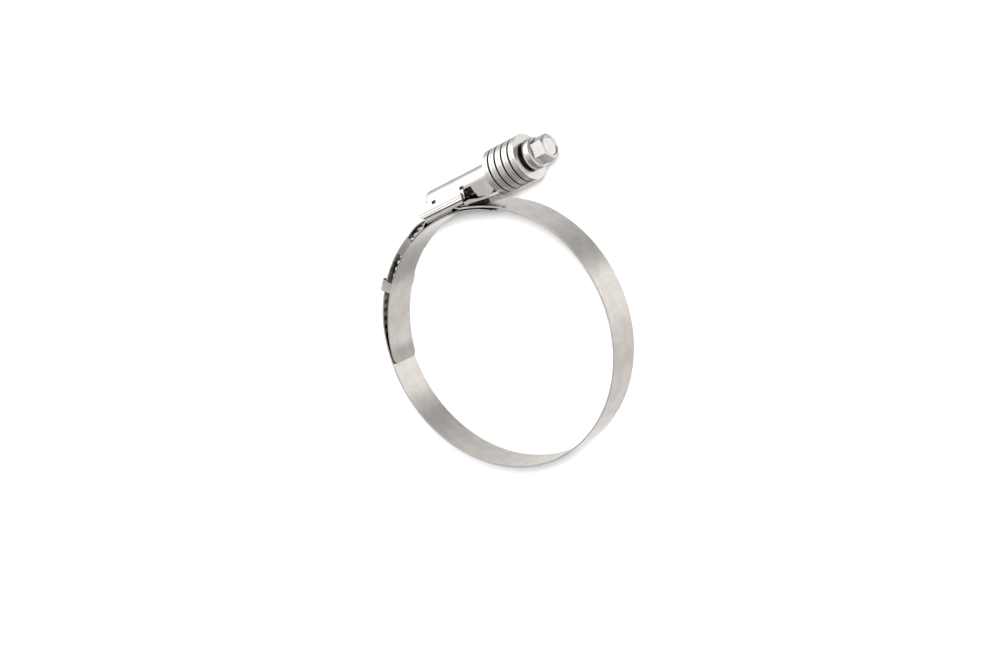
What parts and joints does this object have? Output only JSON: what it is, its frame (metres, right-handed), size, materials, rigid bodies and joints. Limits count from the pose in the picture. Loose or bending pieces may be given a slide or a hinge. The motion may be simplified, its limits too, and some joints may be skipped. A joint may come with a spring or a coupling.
{
  "type": "band clamp",
  "caption": "Slotted steel band clamp for a hose or pipe, drawn tight by a hexagon-headed worm screw that presses on a stack of coned spring washers.",
  "frame": {"origin": "middle of the floor of the bounding box, with the clamp lying on its side", "axes": "+Z along the axis of the ring, +Y from the ring's centre to the screw housing, +X along the screw towards its hexagon head"},
  "size_m": [0.1164, 0.127, 0.0201],
  "materials": {
    "band_steel": "bright rolled stainless strip",
    "pressed_steel": "bright pressed stainless sheet",
    "spring_steel": "tumbled stainless spring steel",
    "screw_steel": "bright plated steel"
  },
  "bodies": {
    "clamp": {"band": "band_steel", "liner": "band_steel", "saddle": "pressed_steel", "housing": "pressed_steel", "spring_washer_01": "spring_steel", "spring_washer_02": "spring_steel", "spring_washer_03": "spring_steel", "spring_washer_04": "spring_steel", "spring_washer_05": "spring_steel", "spring_washer_06": "spring_steel", "spring_washer_07": "spring_steel", "spring_washer_08": "spring_steel", "spring_washer_09": "spring_steel"},
    "front_washer": {"spring_washer_10": "spring_steel"},
    "screw": {"worm_screw": "screw_steel"}
  },
  "joints": [
    {"name": "stack_travel", "type": "slide", "parent": "clamp", "child": "front_washer", "axis": [-1, 0, 0], "range_m": [0, 0.0032], "stiffness_N_per_m": 2000, "deforming": ["spring_washer_01", "spring_washer_02", "spring_washer_03", "spring_washer_04", "spring_washer_05", "spring_washer_06", "spring_washer_07", "spring_washer_08", "spring_washer_09"]},
    {"name": "screw_spin", "type": "hinge", "parent": "front_washer", "child": "screw", "pos_m": [0.04825, 0.05347, 0.01005], "axis": [1, 0, 0], "continuous": true}
  ]
}
